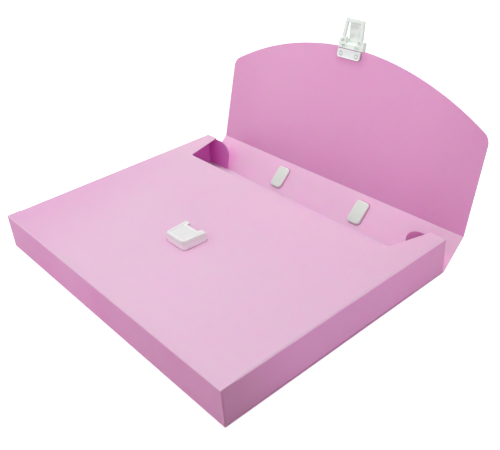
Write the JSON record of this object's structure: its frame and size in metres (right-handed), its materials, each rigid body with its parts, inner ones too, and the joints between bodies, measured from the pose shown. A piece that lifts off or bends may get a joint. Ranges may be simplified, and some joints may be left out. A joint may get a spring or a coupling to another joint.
{
  "type": "document carry case",
  "caption": "Flat polypropylene document case with a folding lid, a push-in clip lock, inner dust flaps and a fold-down carry handle, lying on its back with the lid raised.",
  "frame": {"origin": "centre of the case's underside, which is the outside of its back panel", "axes": "+X along the mouth, +Y towards the mouth and the folds of the lid, +Z from the back panel to the front panel"},
  "size_m": [0.33, 0.3213, 0.1812],
  "materials": {
    "sheet": "translucent pink polypropylene sheet, fine satin grain",
    "fittings": "moulded white polypropylene, semi-gloss"
  },
  "bodies": {
    "case": {"back_panel": "sheet", "bottom_wall": "sheet", "front_panel": "sheet", "side_wall_left": "sheet", "side_wall_right": "sheet", "keeper_housing": "fittings", "keeper_washer": "fittings"},
    "spine": {"spine_panel": "sheet", "handle_bracket_left": "fittings", "handle_bracket_right": "fittings", "handle_pad_left": "fittings", "handle_pad_right": "fittings"},
    "flap": {"cover_flap": "sheet", "latch_body": "fittings", "latch_clamp_plate": "fittings"},
    "dust_left": {"dust_flap_left": "sheet"},
    "dust_right": {"dust_flap_right": "sheet"},
    "carry_handle": {"handle": "fittings"},
    "tongue": {"release_tongue": "fittings"}
  },
  "joints": [
    {"name": "spine_fold", "type": "hinge", "parent": "case", "child": "spine", "pos_m": [0, 0.1256, 0.0004], "axis": [1, 0, 0], "range_deg": [-43, 47]},
    {"name": "flap_fold", "type": "hinge", "parent": "spine", "child": "flap", "pos_m": [0, 0.15222, 0.02523], "axis": [1, 0, 0], "range_deg": [-32, 57.4]},
    {"name": "dust_left_fold", "type": "hinge", "parent": "case", "child": "dust_left", "pos_m": [-0.1642, 0.1241, 0.01775], "axis": [0, 0, -1], "range_deg": [0, 80]},
    {"name": "dust_right_fold", "type": "hinge", "parent": "case", "child": "dust_right", "pos_m": [0.1642, 0.1241, 0.01775], "axis": [0, 0, 1], "range_deg": [-8, 72]},
    {"name": "handle_pivot", "type": "hinge", "parent": "spine", "child": "carry_handle", "pos_m": [0, 0.14205, 0.0074], "axis": [1, 0, 0], "range_deg": [-127, 52]},
    {"name": "tongue_press", "type": "hinge", "parent": "flap", "child": "tongue", "pos_m": [0, 0.19348, 0.1765], "axis": [-1, 0, 0], "range_deg": [0, 8], "stiffness_Nm_per_rad": 0.3}
  ]
}
